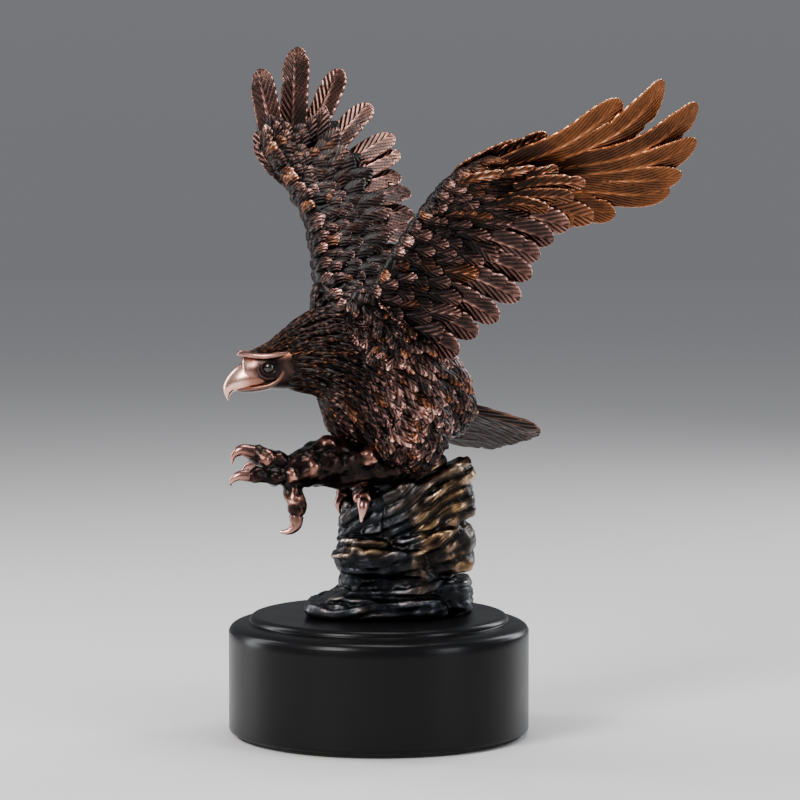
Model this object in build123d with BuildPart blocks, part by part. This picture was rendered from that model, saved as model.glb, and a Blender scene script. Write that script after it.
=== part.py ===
from build123d import *
import os
from math import cos, pi, sin

# A landing eagle on a rock: seven bronze castings pinned together, on a turned and lacquered
# wooden plinth. All sizes are millimetres. The origin is the centre of the felt's underside,
# +Z is up, the bird's head points to -X, and its left wing and reaching left foot to -Y.

os.makedirs("parts", exist_ok=True)

# ---- driving dimensions ----
PLINTH_R = 57.5
PLINTH_EDGE_Z = 40.2
PLINTH_TOP_Z = 46.0
TOP_DISC_R = 49.6
FELT_T = 1.5
FELT_R = 55.0

STUD_R = 3.0
STUD_CLEAR_R = 3.3
STUD_X, STUD_Y = 10.0, 2.0
STUD_BOTTOM_Z, STUD_TOP_Z = 4.5, 124.0
RECESS_R, RECESS_DEPTH = 14.0, 12.0
WASHER_R, WASHER_T = 9.0, 1.6
NUT_FLATS, NUT_T = 10.0, 5.0

DOWEL_R, DOWEL_DEPTH = 2.0, 6.0
DOWEL_PLACES = {"left_dowel": (-18.0, -2.0), "right_dowel": (31.0, 3.0)}

TENON_R = 4.0
TENON_LENGTH = 16.0
PIN_R = 1.25
PIN_LENGTH = 20.0
EYE_R = 2.5
FEATHER_T = 2.2
ARM_STATIONS = (0.0, 0.2, 0.4, 0.6, 0.8, 0.94)
ARM_CHORD = (0.62, 0.5)
ARM_T = (9.0, 3.6)
BLADE_WIDTH = (14.0, 9.0)
BLADE_ROOT = 0.3
BLADE_SPAN = (0.06, 0.96)


def save(block, name):
    """Label a finished piece and write it as its own STEP file."""
    block.part.label = name
    export_step(block.part, f"parts/{name}.step")


def tapered_limb(stations):
    """A limb or toe: a loft through circles, one for each (x, y, z, radius) station."""
    centres = [Vector(x, y, z) for x, y, z, _ in stations]
    last = len(stations) - 1
    with BuildPart() as limb:
        for i, (_, _, _, radius) in enumerate(stations):
            ahead = centres[min(i + 1, last)] - centres[max(i - 1, 0)]
            with BuildSketch(Plane(origin=centres[i], z_dir=ahead)):
                Circle(radius)
        loft()
    return limb.part


def oval(half_length, half_thickness):
    """Corners of a twelve-sided oval, flat enough to be chased with feathers."""
    angles = [2 * pi * i / 12 for i in range(12)]
    return [(half_length * cos(a), half_thickness * sin(a)) for a in angles]


def peg(start, direction, radius, length):
    """A straight round peg from a start point along a direction."""
    with BuildPart() as pin:
        with BuildSketch(Plane(origin=start, z_dir=direction)):
            Circle(radius)
        extrude(amount=length)
    return pin.part


def blade(root, tip, across, width, thickness):
    """One flight feather: a round-ended leaf from root to tip, lying along the wing."""
    along = Vector(*tip) - Vector(*root)
    length = along.length
    lie = Plane(origin=root, x_dir=along, z_dir=along.cross(across))
    half = width / 2
    with BuildPart() as feather:
        with BuildSketch(lie):
            with BuildLine():
                Polyline((length - half, -half), (0.3 * length, -half), (0, -0.6 * half))
                Line((0, -0.6 * half), (0, 0.6 * half))
                Polyline((0, 0.6 * half), (0.3 * length, half), (length - half, half))
                ThreePointArc((length - half, half), (length, 0), (length - half, -half))
            make_face()
        extrude(amount=thickness / 2, both=True)
    return feather.part


def between(pair, share):
    """A value share of the way from the first of a pair to the second."""
    return pair[0] + (pair[1] - pair[0]) * share


def wing(lead_points, tips):
    """A wing casting: a thick feathered arm along the leading edge, and a fan of blades.

    The arm is a loft of ovals whose chords lie from the leading edge towards the tips.
    Each blade starts BLADE_ROOT of the way from the leading edge to its own tip.
    """
    with BuildLine() as lead:
        Spline(*lead_points)
    with BuildLine() as trail:
        Spline(*tips)
    edge, rim = lead.line, trail.line
    last = len(tips) - 1
    blades = []
    for i, tip in enumerate(tips):
        share = i / last
        place = between(BLADE_SPAN, share)
        start = edge @ place
        root = start + (Vector(*tip) - start) * BLADE_ROOT
        blades.append(blade(root, tip, edge % place, between(BLADE_WIDTH, share), FEATHER_T))
    with BuildPart() as casting:
        for share in ARM_STATIONS:
            start = edge @ share
            chord = rim @ share - start
            reach = chord.length * between(ARM_CHORD, share)
            centre = start + chord.normalized() * reach / 2
            with BuildSketch(Plane(origin=centre, x_dir=chord, z_dir=edge % share)):
                Polygon(*oval(reach / 2, between(ARM_T, share) / 2), align=None)
        loft(ruled=True)
        for feather in blades:
            add(feather)
    return casting.part


# ---- shapes that other pieces are cut to fit ----
# Torso, neck and head: ellipses square to the spine, from the rump to the beak's root.
# Each station is x, y, z, half height, half width.
SPINE = [
    (35, 14, 120, 7, 9),
    (28, 10, 125, 14, 15),
    (15, 4, 129, 24, 20),
    (2, -2, 134, 27, 21.5),
    (-11, -7, 141, 22.5, 19),
    (-22, -9.5, 145, 15.5, 14.5),
    (-33, -10.5, 144.5, 12.3, 10.8),
    (-43, -11, 142.3, 9.6, 8.8),
    (-50, -11, 140, 7, 6),
]
BEAK = [
    (-48, -11, 139.5, 6.6), (-54, -11, 138, 5.2), (-57.6, -11, 134.5, 3.1), (-57.4, -11, 129.6, 0.6),
]
THIGHS = [
    [(20, -4, 132, 13), (17, -9, 121, 14.5), (13, -13, 111, 12), (8, -14, 104.5, 8)],
    [(14, 12, 130, 12), (11, 14, 119, 13), (7, 12, 109, 10.5), (3, 9, 103, 7)],
]
BROW_START = (-52.5, -11, 146.6)
BROW_HALF_GAP = 2.5
BROW_LENGTH = 19
EYES = {"left_eye": (-41.0, -17.6, 141.6), "right_eye": (-41.0, -4.4, 141.6)}

LEFT_LEAD = [
    (-7, -14, 164), (2, -20, 180), (10, -25, 193), (18, -29.5, 204.5), (24, -32.5, 211.5),
    (31, -35, 216.8), (37.5, -37, 220), (43, -38.5, 222.3), (48, -40, 224.3),
]
LEFT_TIPS = [
    (30, -13, 146), (37, -16, 153), (45, -18, 159), (53, -21, 167), (57, -24, 175), (60, -27, 183),
    (65, -29, 189), (71, -31, 195), (80, -34, 198), (90, -38, 202), (100, -41, 206), (107, -44, 211),
    (109, -47, 217), (115, -51, 228), (112, -53, 240), (99, -54, 248), (83, -50, 242),
]
RIGHT_LEAD = [
    (-18, 5, 159), (-25, 17, 174), (-27, 29, 187), (-30, 37, 198), (-36, 44, 208), (-42, 50, 215.5),
    (-46, 55, 221.5), (-47.5, 59, 226),
]
RIGHT_TIPS = [
    (14, 18, 156), (15, 25, 165), (14, 33, 173), (13, 42, 181), (14, 50, 189), (13, 57, 197),
    (11, 63, 205), (7, 69, 212), (8, 74, 221), (5, 78, 229), (-5, 84, 242), (-17, 88, 256),
    (-34, 89, 265), (-50, 82, 256),
]
TAIL_ROOTS = [(26, 0, 127), (26, 9, 120), (24, 16, 113)]
TAIL_TIPS = [(61, 15, 115), (62.5, 26, 112.5), (58, 36, 109.5), (50, 43, 107.5)]
TAIL_FEATHERS = 9
TAIL_FEATHER_W = 8.5
TAIL_STEP = 0.5
TAIL_COVER_R = 8.0

# Where each casting's tenon starts inside the body, and the way it leaves.
TENONS = {
    "left_wing": ((3, -6, 146), (0.0, -0.42, 0.9)),
    "right_wing": ((-6, 0, 143), (-0.1, 0.45, 0.88)),
    "tail": ((20, 8, 124), (0.82, 0.48, -0.24)),
    "left_leg": ((8, -6, 108), (-0.9, -0.42, -0.15)),
    "right_leg": ((0, 5, 114), (-0.35, 0.05, -0.9)),
}
PINS = {
    "left_wing": ((-7, -9.5, 153), (1, 0, 0)),
    "right_wing": ((-17, 4, 150), (1, 0, 0)),
    "tail": ((25, 2, 123), (0, 1, 0)),
    "left_leg": ((1, -9, 99), (0, 0, 1)),
    "right_leg": ((-2, -1.5, 109), (0, 1, 0)),
}
SOCKETS = {name: peg(*place, TENON_R, TENON_LENGTH) for name, place in TENONS.items()}
PIN_HOLES = {name: peg(*place, PIN_R, PIN_LENGTH) for name, place in PINS.items()}
STUD_HOLE = peg((STUD_X, STUD_Y, 90), (0, 0, 1), STUD_R, STUD_TOP_Z - 90)


# ---- body: torso, thighs, neck, head and beak in one casting ----
with BuildPart() as torso:
    spine_points = [Vector(*station[:3]) for station in SPINE]
    for i, (_, _, _, tall, wide) in enumerate(SPINE):
        ahead = spine_points[min(i + 1, len(SPINE) - 1)] - spine_points[max(i - 1, 0)]
        level = ahead.cross(Vector(0, 0, 1))
        with BuildSketch(Plane(origin=spine_points[i], x_dir=level, z_dir=ahead)):
            Ellipse(wide, tall)
    loft()
    for stations in THIGHS:
        add(tapered_limb(stations))
    add(tapered_limb(BEAK))
    for side in (-1, 1):
        brow_place = Vector(*BROW_START) + Vector(0, side * BROW_HALF_GAP, 0)
        with BuildSketch(Plane(origin=brow_place, z_dir=(0.94, side * 0.32, 0.1))):
            Ellipse(1.6, 1.3)
        extrude(amount=BROW_LENGTH)
BODY_OUTSIDE = torso.part

with BuildPart() as body:
    add(BODY_OUTSIDE)
    for cutter in [*SOCKETS.values(), *PIN_HOLES.values(), STUD_HOLE]:
        add(cutter, mode=Mode.SUBTRACT)
    for place in EYES.values():
        with Locations(place):
            Sphere(EYE_R, mode=Mode.SUBTRACT)
save(body, "body")

# ---- glass eye beads ----
for name, place in EYES.items():
    with BuildPart() as eye:
        with Locations(place):
            Sphere(EYE_R)
    save(eye, name)


def pinned(shape, name):
    """A casting cut to the body's surface, with its tenon and the hole for its cross pin."""
    with BuildPart() as casting:
        add(shape)
        add(BODY_OUTSIDE, mode=Mode.SUBTRACT)
        add(SOCKETS[name])
        add(PIN_HOLES[name], mode=Mode.SUBTRACT)
    return casting


# ---- wings ----
left_wing = pinned(wing(LEFT_LEAD, LEFT_TIPS), "left_wing")
save(left_wing, "left_wing")
right_wing = pinned(wing(RIGHT_LEAD, RIGHT_TIPS), "right_wing")
save(right_wing, "right_wing")

# ---- tail: a folded fan of blades under a short cover of small feathers ----
with BuildLine() as tail_root_line:
    Spline(*TAIL_ROOTS)
with BuildLine() as tail_tip_line:
    Spline(*TAIL_TIPS)
tail_across = Vector(*TAIL_ROOTS[-1]) - Vector(*TAIL_ROOTS[0])
with BuildPart() as tail_fan:
    with Locations(TAIL_ROOTS[1]):
        Sphere(TAIL_COVER_R)
    for i in range(TAIL_FEATHERS):
        share = i / (TAIL_FEATHERS - 1)
        lift = Vector(0, 0, TAIL_STEP * (i % 2))
        root = tail_root_line.line @ share + lift
        tip = tail_tip_line.line @ share + lift
        add(blade(root, tip, tail_across, TAIL_FEATHER_W, FEATHER_T))
tail = pinned(tail_fan.part, "tail")
save(tail, "tail")

# ---- legs: a feathered shank, and four toes that end in hooked claws ----
LEFT_SHANK = [
    (4, -9, 105, 8), (-8, -13, 105, 9.4), (-20, -19, 105.3, 9.5), (-29, -23.5, 104, 7.4),
    (-34, -26, 102.5, 5),
]
LEFT_TOES = [
    [
        (-32, -25, 103.5, 4.6), (-39, -27, 107.5, 4), (-45, -28, 109.6, 3.3), (-50, -29.5, 110, 2),
        (-54.6, -30, 107.6, 0.5),
    ],
    [
        (-32, -26, 102, 4.4), (-40, -31, 101.5, 3.7), (-46, -33, 102.4, 3), (-50.5, -34, 101.6, 1.9),
        (-54.8, -34.5, 99.6, 0.5),
    ],
    [
        (-33, -25.5, 102, 4.6), (-32, -27, 95.5, 4), (-30.3, -27.5, 89.5, 3.5), (-31.5, -28.5, 84, 2.2),
        (-36.6, -29.5, 81, 0.5),
    ],
    [
        (-33, -24, 102.5, 4.4), (-39, -20, 104, 3.6), (-44, -17, 105, 2.9), (-48, -15.5, 103.4, 1.8),
        (-51, -15, 100, 0.5),
    ],
]
RIGHT_SHANK = [(0, 6, 108, 7.5), (-3, 5.5, 102, 6.8), (-6, 4.5, 96.5, 5.4), (-8, 3, 92.5, 4)]
RIGHT_TOES = [
    [(-7, 3, 94, 3.8), (-7.4, -2, 94, 3), (-7.6, -6, 91.5, 2.3), (-7.8, -8, 85.6, 0.5)],
    [(-8, 3, 94, 3.8), (-12, 0, 93, 3), (-14.6, -1.5, 89.6, 2.1), (-15, -2.4, 84.5, 0.5)],
    [(-8, 4, 94, 3.8), (-11, 9, 92.5, 3), (-12.6, 12.6, 89.5, 2.1), (-13, 14, 84.5, 0.5)],
]


def leg(shank, toes, name):
    """One leg casting: shank and toes joined at the palm, with the tenon for the body."""
    parts = [tapered_limb(stations) for stations in [shank, *toes]]
    with BuildPart() as limb:
        for piece in parts:
            add(piece)
    return pinned(limb.part, name)


left_leg = leg(LEFT_SHANK, LEFT_TOES, "left_leg")
save(left_leg, "left_leg")
right_leg = leg(RIGHT_SHANK, RIGHT_TOES, "right_leg")
save(right_leg, "right_leg")

# ---- rock: tilted slabs, hollow from below ----
# Each slab is centre x, y, z, height, half length, half depth, turn and tilt in degrees.
SLABS = [
    (3, 0, 46, 7, 33, 25, 0, 0),
    (5, 1, 51, 9, 27, 22, 25, 0),
    (10, 1, 59, 8, 25, 21, 60, -3),
    (9, 1, 66, 8, 23, 19, 10, -5),
    (13, 2, 73, 8, 20, 17, 40, -8),
    (15, 3, 80, 8, 18, 16, 80, -12),
    (18, 4, 87, 10, 17, 15, 15, -16),
    (19, 5, 95, 10, 14, 13, 50, -20),
    (-5, 0, 72, 12, 9, 12, 30, 6),
]
SLAB_SIDES = 9
CAVITY_R, CAVITY_TOP_R, CAVITY_TOP_Z = 17.0, 8.0, 88.0


def slab_outline(half_length, half_depth, turn):
    """Corners of one uneven slab, going round it."""
    corners = []
    for i in range(SLAB_SIDES):
        angle = 2 * pi * i / SLAB_SIDES
        uneven = 1 + 0.08 * sin(2.3 * i + turn)
        corners.append((half_length * uneven * cos(angle), half_depth * uneven * sin(angle)))
    return corners


with BuildPart() as rock:
    for x, y, z, height, half_length, half_depth, turn, tilt in SLABS:
        with BuildSketch(Plane((x, y, z)).rotated((0, tilt, 0))):
            Polygon(*slab_outline(half_length, half_depth, turn), align=None)
        extrude(amount=height, taper=5)
    add(right_leg.part, mode=Mode.SUBTRACT)
    add(BODY_OUTSIDE, mode=Mode.SUBTRACT)
    with BuildSketch(Plane((STUD_X, STUD_Y, PLINTH_TOP_Z))):
        Circle(CAVITY_R)
    with BuildSketch(Plane((STUD_X, STUD_Y, CAVITY_TOP_Z))):
        Circle(CAVITY_TOP_R)
    loft(mode=Mode.SUBTRACT)
    with BuildSketch(Plane((STUD_X, STUD_Y, PLINTH_TOP_Z))):
        Circle(STUD_CLEAR_R)
    extrude(amount=80, mode=Mode.SUBTRACT)
    for x, y in DOWEL_PLACES.values():
        with BuildSketch(Plane((x, y, PLINTH_TOP_Z))):
            Circle(DOWEL_R)
        extrude(amount=DOWEL_DEPTH, mode=Mode.SUBTRACT)
save(rock, "rock")

# ---- plinth: turned wood with a rounded shoulder and a raised top disc ----
with BuildPart() as plinth:
    with BuildSketch(Plane.XZ):
        with BuildLine():
            Polyline((0, FELT_T), (PLINTH_R - 1, FELT_T), (PLINTH_R, FELT_T + 1), (PLINTH_R, PLINTH_EDGE_Z))
            ThreePointArc((PLINTH_R, PLINTH_EDGE_Z), (54.6, 42.4), (TOP_DISC_R + 0.3, 43.3))
            Line((TOP_DISC_R + 0.3, 43.3), (TOP_DISC_R, 43.5))
            ThreePointArc((TOP_DISC_R, 43.5), (48.9, 45.3), (47, PLINTH_TOP_Z))
            Polyline((47, PLINTH_TOP_Z), (0, PLINTH_TOP_Z), (0, FELT_T))
        make_face()
    revolve(axis=Axis.Z)
    with BuildSketch(Plane((STUD_X, STUD_Y, FELT_T))):
        Circle(RECESS_R)
    extrude(amount=RECESS_DEPTH, mode=Mode.SUBTRACT)
    with BuildSketch(Plane((STUD_X, STUD_Y, FELT_T))):
        Circle(STUD_CLEAR_R)
    extrude(amount=PLINTH_TOP_Z, mode=Mode.SUBTRACT)
    for x, y in DOWEL_PLACES.values():
        with BuildSketch(Plane((x, y, PLINTH_TOP_Z))):
            Circle(DOWEL_R)
        extrude(amount=-DOWEL_DEPTH, mode=Mode.SUBTRACT)
save(plinth, "plinth")

# ---- felt under the plinth ----
with BuildPart() as felt_pad:
    with BuildSketch():
        Circle(FELT_R)
    extrude(amount=FELT_T)
save(felt_pad, "felt_pad")

# ---- fastening: threaded stud, washer and nut in the plinth's recess, and two dowels ----
RECESS_CEILING_Z = FELT_T + RECESS_DEPTH
with BuildPart() as tie_stud:
    with BuildSketch(Plane((STUD_X, STUD_Y, STUD_BOTTOM_Z))):
        Circle(STUD_R)
    extrude(amount=STUD_TOP_Z - STUD_BOTTOM_Z)
    chamfer(tie_stud.edges().filter_by(GeomType.CIRCLE), 0.6)
save(tie_stud, "tie_stud")

with BuildPart() as stud_washer:
    with BuildSketch(Plane((STUD_X, STUD_Y, RECESS_CEILING_Z - WASHER_T))):
        Circle(WASHER_R)
        Circle(STUD_CLEAR_R, mode=Mode.SUBTRACT)
    extrude(amount=WASHER_T)
save(stud_washer, "stud_washer")

with BuildPart() as stud_nut:
    with BuildSketch(Plane((STUD_X, STUD_Y, RECESS_CEILING_Z - WASHER_T - NUT_T))):
        RegularPolygon(NUT_FLATS / 2, 6, major_radius=False)
        Circle(STUD_R, mode=Mode.SUBTRACT)
    extrude(amount=NUT_T)
save(stud_nut, "stud_nut")

for name, (x, y) in DOWEL_PLACES.items():
    with BuildPart() as dowel:
        with BuildSketch(Plane((x, y, PLINTH_TOP_Z - DOWEL_DEPTH))):
            Circle(DOWEL_R)
        extrude(amount=2 * DOWEL_DEPTH)
    save(dowel, name)

# ---- cross pins that lock each tenon in the body ----
for name, hole in PIN_HOLES.items():
    with BuildPart() as cross_pin:
        add(hole)
    save(cross_pin, f"{name}_pin")
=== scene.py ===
from functools import partial
from math import cos, pi, radians, sin, tau

import bpy
import numpy as np
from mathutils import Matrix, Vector, noise
from mathutils.bvhtree import BVHTree


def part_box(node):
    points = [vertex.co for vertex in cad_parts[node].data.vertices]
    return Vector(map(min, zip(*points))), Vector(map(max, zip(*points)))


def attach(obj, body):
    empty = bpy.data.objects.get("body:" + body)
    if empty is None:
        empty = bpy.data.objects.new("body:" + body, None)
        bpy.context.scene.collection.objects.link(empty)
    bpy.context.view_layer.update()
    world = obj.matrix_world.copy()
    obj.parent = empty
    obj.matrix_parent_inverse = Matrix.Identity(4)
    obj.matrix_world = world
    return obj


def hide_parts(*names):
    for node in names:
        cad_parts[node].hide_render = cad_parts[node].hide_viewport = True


# A bronze eagle landing on a rock, on a black turned plinth. Sculpting works in millimetres in
# the frame of the CAD part, and each piece is changed to metres when its mesh is made.
# The base point, plinth, eyes and the rock's seat come from the frame. The lists of points below
# are places from the base point, measured in the photo across and upwards, and judged in depth.

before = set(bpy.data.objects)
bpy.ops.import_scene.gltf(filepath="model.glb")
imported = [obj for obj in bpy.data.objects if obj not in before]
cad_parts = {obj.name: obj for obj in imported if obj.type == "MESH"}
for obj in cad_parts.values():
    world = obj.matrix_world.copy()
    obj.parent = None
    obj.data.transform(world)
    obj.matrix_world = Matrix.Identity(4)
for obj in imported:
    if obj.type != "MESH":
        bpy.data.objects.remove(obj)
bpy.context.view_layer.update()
chance = np.random.default_rng(11)


# ---------------------------------------------------------------- small geometry helpers
def box_mm(node):
    """The lowest and highest corners of a CAD node's box, in millimetres."""
    return [np.array(corner) * 1000 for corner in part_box(node)]


def box_middle(node):
    low, high = box_mm(node)
    return (low + high) / 2


def underside_middle(node):
    low, high = box_mm(node)
    return np.array([(low[0] + high[0]) / 2, (low[1] + high[1]) / 2, low[2]])


base_middle = underside_middle("felt_pad")


def placed(rows):
    """Points in millimetres from the middle of the base's underside. Further numbers stay."""
    rows = np.array(rows, float)
    return np.hstack([base_middle + rows[:, :3], rows[:, 3:]])


def unit(vectors):
    return vectors / np.maximum(np.linalg.norm(vectors, axis=-1, keepdims=True), 1e-9)


def blend_in(low, high, value):
    """0 below low, 1 above high, and a smooth step between."""
    share = np.clip((value - low) / (high - low), 0, 1)
    return share * share * (3 - 2 * share)


class Path:
    """A smooth line through points. Extra numbers on a point, such as a radius, follow it."""

    def __init__(self, points, even=True):
        knots = np.asarray(points, float)
        padded = np.vstack([2 * knots[0] - knots[1], knots, 2 * knots[-1] - knots[-2]])
        steps = np.linspace(0, len(knots) - 1, 40 * (len(knots) - 1) + 1)
        i = np.minimum(steps.astype(int), len(knots) - 2)
        f = (steps - i)[:, None]
        a, b, c, d = (padded[i + k] for k in range(4))
        curve = 2 * b + (c - a) * f + (2 * a - 5 * b + 4 * c - d) * f**2
        self.line = (curve + (3 * b - a - 3 * c + d) * f**3) / 2
        runs = np.linalg.norm(np.diff(self.line[:, :3], axis=0), axis=1)
        travelled = np.concatenate([[0], np.cumsum(runs)])
        self.length = travelled[-1]
        self.shares = travelled / travelled[-1] if even else steps / steps[-1]

    def at(self, share):
        columns = [np.interp(share, self.shares, column) for column in self.line.T]
        return np.stack(columns, axis=-1)

    def along(self, share, reach=0.01):
        ahead = self.at(np.minimum(share + reach, 1))[..., :3]
        return unit(ahead - self.at(np.maximum(share - reach, 0))[..., :3])


class Sculpture:
    """Closed tubes gathered into one mesh, with tone, warmth and barb lines at each point.

    tone runs from 0, a dark recess, to 1, metal rubbed bright, and in places also carries painted light and
    shade.
    warm runs from 0, pinkish copper, to 1, orange brown. barb counts the fine barb lines across a feather's
    vane.
    """

    def __init__(self):
        self.points, self.faces, self.tone, self.warm, self.barb = [], [], [], [], []
        self.count = 0

    def tube(self, rings, tone=0.4, warm=0.0, barb=0.0):
        rows, across = rings.shape[:2]
        number = self.count + np.arange(rows * across).reshape(rows, across)
        right = np.roll(number, -1, axis=1)
        quads = np.stack([number[:-1], right[:-1], right[1:], number[1:]], axis=-1)
        self.faces.extend(quads.reshape(-1, 4).tolist())
        self.faces.append(number[0, ::-1].tolist())
        self.faces.append(number[-1].tolist())
        self.points.append(rings.reshape(-1, 3))
        for store, value in ((self.tone, tone), (self.warm, warm), (self.barb, barb)):
            store.append(np.broadcast_to(value, (rows, across)).reshape(-1).astype(float))
        self.count += rows * across

    def mesh(self, name):
        mesh = bpy.data.meshes.new(name)
        mesh.from_pydata((np.vstack(self.points) * 0.001).tolist(), [], self.faces)
        for label in ("tone", "warm", "barb"):
            values = np.concatenate(getattr(self, label)).astype(np.float32)
            mesh.attributes.new(label, "FLOAT", "POINT").data.foreach_set("value", values)
        mesh.validate()
        return mesh


def piece(name, shape, material, replaced):
    """Adds a mesh or a sculpture to the scene as one shown piece of the statuette."""
    mesh = shape.mesh(name) if isinstance(shape, Sculpture) else shape
    obj = bpy.data.objects.new(name, mesh)
    bpy.context.scene.collection.objects.link(obj)
    mesh.materials.clear()
    mesh.materials.append(material)
    mesh.shade_smooth()
    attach(obj, "root")
    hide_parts(*replaced)


def turn_steps(count):
    """Angles once round a circle, in even steps."""
    return np.linspace(0, tau, count, endpoint=False)


def cos_sin(angles):
    return np.stack([np.cos(angles), np.sin(angles)], axis=-1)


def loop_frame(direction, up):
    """Two unit vectors square to a direction: sideways, and as near to up as can be."""
    side = unit(np.cross(direction, up))
    return side, unit(np.cross(side, direction))


def limb_rings(path, rows, around, flatten=1.0, up=(0, 0, 1)):
    """Rings round a path whose fourth number is the radius."""
    shares = np.linspace(0, 1, rows)
    centres, ahead = path.at(shares), path.along(shares)
    side, lift = loop_frame(ahead, np.array(up, float))
    ring = cos_sin(turn_steps(around))
    radius = centres[:, 3][:, None, None]
    spread = ring[None, :, :1] * side[:, None] + ring[None, :, 1:] * lift[:, None] * flatten
    return centres[:, None, :3] + radius * spread


def ball_rings(centre, radius, rows, around):
    tilts = np.linspace(0.05, pi - 0.05, rows)
    turns = turn_steps(around)
    flat = np.stack([np.outer(np.sin(tilts), np.cos(turns)), np.repeat(-np.cos(tilts)[:, None], around, 1),
                     np.outer(np.sin(tilts), np.sin(turns))], axis=-1)
    return np.array(centre) + radius * flat


def remeshed(mesh, voxel_mm, smoothing):
    """One closed skin round everything in a mesh, by voxels."""
    obj = bpy.data.objects.new("clay", mesh)
    bpy.context.scene.collection.objects.link(obj)
    skin = obj.modifiers.new("skin", "REMESH")
    skin.mode = "VOXEL"
    skin.voxel_size = voxel_mm * 0.001
    relax = obj.modifiers.new("relax", "SMOOTH")
    relax.factor = 0.5
    relax.iterations = smoothing
    depsgraph = bpy.context.evaluated_depsgraph_get()
    result = bpy.data.meshes.new_from_object(obj.evaluated_get(depsgraph))
    bpy.data.objects.remove(obj)
    return result


def mesh_points(mesh):
    """The points of a mesh and their normals, in millimetres."""
    points = np.empty(len(mesh.vertices) * 3, np.float32)
    normals = np.empty(len(mesh.vertices) * 3, np.float32)
    mesh.vertices.foreach_get("co", points)
    mesh.vertices.foreach_get("normal", normals)
    return points.reshape(-1, 3) * 1000.0, normals.reshape(-1, 3)


def move_points(mesh, points):
    """Puts a mesh's points at new places, given in millimetres."""
    mesh.vertices.foreach_set("co", (points * 0.001).astype(np.float32).reshape(-1))
    mesh.update()


def bulge(mesh, points, normals, rounds):
    """How far each point stands proud of its neighbours, in millimetres, evened out a little."""
    ends = np.empty(len(mesh.edges) * 2, np.int32)
    mesh.edges.foreach_get("vertices", ends)
    one, two = ends.reshape(-1, 2).T
    degree = np.bincount(one, minlength=len(points)) + np.bincount(two, minlength=len(points))
    degree = np.maximum(degree, 1)

    def neighbour_mean(values):
        total = np.bincount(one, values[two], len(points)) + np.bincount(two, values[one], len(points))
        return total / degree

    total = np.zeros(len(points))
    around = points.astype(float)
    for _ in range(rounds):
        around = np.stack([neighbour_mean(around[:, k]) for k in range(3)], axis=1)
        total = np.einsum("ij,ij->i", points - around, normals)
    for _ in range(2):
        total = neighbour_mean(total)
    return total


def with_tone(mesh, tone, warm):
    for label, values in (("tone", tone), ("warm", warm), ("barb", np.zeros(len(tone)))):
        store = mesh.attributes.new(label, "FLOAT", "POINT")
        store.data.foreach_set("value", np.asarray(values, np.float32))


def noise_at(points, size, seed=0.0):
    """Smooth noise, about -1 to 1, at points in millimetres."""
    shift = Vector((seed, seed * 1.7, seed * 0.6))
    return np.array([noise.noise(Vector(p) / size + shift) for p in points.tolist()])


def lumps_at(points, layers):
    """Noise in layers, each given as size, seed and height. All but the seed are millimetres."""
    return sum(noise_at(points, size, seed) * height for size, seed, height in layers)


# ---------------------------------------------------------------- materials
def new_material(name):
    material = bpy.data.materials.new(name)
    material.use_nodes = True
    return material, material.node_tree.nodes, material.node_tree.links


def node(nodes, kind, **inputs):
    """A shader node with some of its inputs set, by name."""
    made = nodes.new(kind)
    for name, value in inputs.items():
        made.inputs[name.replace("_", " ")].default_value = value
    return made


def ramp(nodes, stops):
    made = nodes.new("ShaderNodeValToRGB")
    elements = made.color_ramp.elements
    while len(elements) < len(stops):
        elements.new(0.5)
    for element, (position, colour) in zip(elements, stops):
        element.position = position
        element.color = (*colour, 1)
    return made


def attribute(nodes, name):
    made = nodes.new("ShaderNodeAttribute")
    made.attribute_name = name
    return made.outputs["Fac"]


def maths(nodes, links, operation, first, second, clamp=False):
    made = nodes.new("ShaderNodeMath")
    made.operation = operation
    made.use_clamp = clamp
    for socket, value in zip(made.inputs, (first, second)):
        if isinstance(value, (int, float)):
            socket.default_value = value
        else:
            links.new(value, socket)
    return made.outputs[0]


PATINA = [(0.0, (0.005, 0.004, 0.004)), (0.3, (0.024, 0.014, 0.013)), (0.55, (0.13, 0.064, 0.052)),
          (0.78, (0.4, 0.2, 0.165)), (1.0, (0.92, 0.55, 0.46))]
WARM_PATINA = [(0.0, (0.006, 0.003, 0.002)), (0.28, (0.04, 0.014, 0.006)), (0.5, (0.17, 0.057, 0.019)),
               (0.75, (0.37, 0.125, 0.045)), (1.0, (0.88, 0.5, 0.34))]
ROCK_PATINA = [(0.0, (0.004, 0.0045, 0.0055)), (0.3, (0.016, 0.018, 0.022)), (0.55, (0.075, 0.075, 0.085)),
               (0.8, (0.3, 0.25, 0.24)), (1.0, (0.8, 0.66, 0.6))]
ROCK_GILT = [(0.0, (0.006, 0.005, 0.004)), (0.3, (0.04, 0.024, 0.013)), (0.6, (0.25, 0.14, 0.062)),
             (0.85, (0.47, 0.3, 0.145)), (1.0, (0.78, 0.56, 0.34))]


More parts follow.
